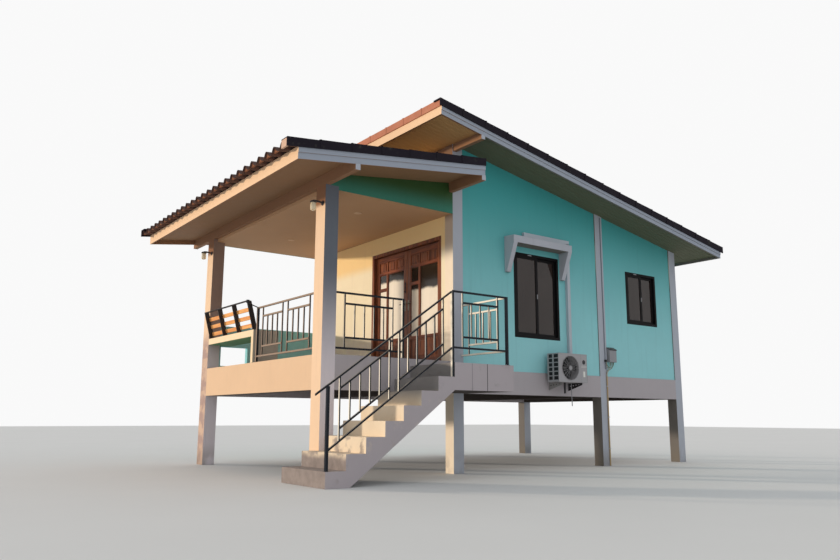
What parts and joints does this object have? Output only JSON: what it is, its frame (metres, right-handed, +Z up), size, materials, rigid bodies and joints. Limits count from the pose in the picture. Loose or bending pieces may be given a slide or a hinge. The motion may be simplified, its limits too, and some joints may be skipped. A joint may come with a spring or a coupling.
{
  "type": "stilt house",
  "caption": "Raised single-room house on square concrete legs, with an open porch, an outside stair with steel railings, a glazed double door and stepped mono-pitch tiled roofs.",
  "frame": {"origin": "bottom centre of the whole house's bounding box, on the ground at the feet of the legs", "axes": "+X along the long side walls from the porch to the rear, +Y from the stair side into the depth, +Z up"},
  "size_m": [9.8166, 6.303, 5.5744],
  "materials": {
    "cream_paint": "painted render, matte",
    "grey_paint": "painted concrete, matte",
    "turquoise_paint": "painted render, matte",
    "bare_cement": "trowelled cement",
    "soffit_board": "painted fibre cement board",
    "roof_tile": "coated concrete roof tile",
    "ridge_tile": "coated concrete ridge tile",
    "roof_steel": "primed steel",
    "door_wood": "varnished hardwood",
    "rack_wood": "stained slats",
    "window_metal": "dark powder coat",
    "clear_glass": "clear float glass",
    "rail_steel": "dark painted square tube",
    "ac_shell": "white painted sheet",
    "white_plastic": "white plastic",
    "dark_plastic": "dark plastic"
  },
  "bodies": {
    "house": {"porch_columns": "cream_paint", "house_columns": "grey_paint", "porch_beams": "cream_paint", "side_beams": "grey_paint", "cross_beams": "grey_paint", "porch_floor": "bare_cement", "house_floor": "bare_cement", "landing": "bare_cement", "stair_flight": "bare_cement", "side_walls": "turquoise_paint", "rear_wall": "turquoise_paint", "front_wall_sides": "cream_paint", "front_wall_over": "cream_paint", "porch_ceiling": "soffit_board", "porch_infill": "turquoise_paint", "roof_beams": "cream_paint", "porch_soffit": "soffit_board", "main_soffit": "soffit_board", "rafters": "roof_steel", "fascias": "cream_paint", "rake_boards": "grey_paint", "porch_tiles": "roof_tile", "main_tiles": "roof_tile", "verge_caps": "roof_tile", "ridge_cap": "ridge_tile", "window_frames": "window_metal", "window_glass": "clear_glass", "window_hoods": "grey_paint", "door_frame": "door_wood", "stair_railing": "rail_steel", "landing_railing": "rail_steel", "return_railing": "rail_steel", "porch_side_railing": "rail_steel", "porch_front_railing": "rail_steel", "counter": "cream_paint", "far_parapet": "turquoise_paint", "slat_rack": "rack_wood", "ac_case": "ac_shell", "ac_guard": "ac_shell", "ac_brackets": "ac_shell", "pipe_trunking": "white_plastic", "meter_box": "grey_paint", "conduit": "white_plastic", "wall_lamps": "window_metal", "lamp_jars": "clear_glass", "downlights": "white_plastic"},
    "near_leaf": {"door_leaf_near": "door_wood", "door_glass_near": "clear_glass"},
    "far_leaf": {"door_leaf_far": "door_wood", "door_glass_far": "clear_glass"},
    "fan": {"ac_fan": "dark_plastic"}
  },
  "joints": [
    {"name": "near_leaf_hinge", "type": "hinge", "parent": "house", "child": "near_leaf", "pos_m": [-1.4608, -1.7565, 1.685], "axis": [0, 0, -1], "range_deg": [0, 90]},
    {"name": "far_leaf_hinge", "type": "hinge", "parent": "house", "child": "far_leaf", "pos_m": [-1.4608, 0.1635, 1.685], "axis": [0, 0, 1], "range_deg": [0, 90]},
    {"name": "fan_spin", "type": "hinge", "parent": "house", "child": "fan", "pos_m": [0.6962, -2.4465, 1.66], "axis": [0, 1, 0], "continuous": true}
  ]
}
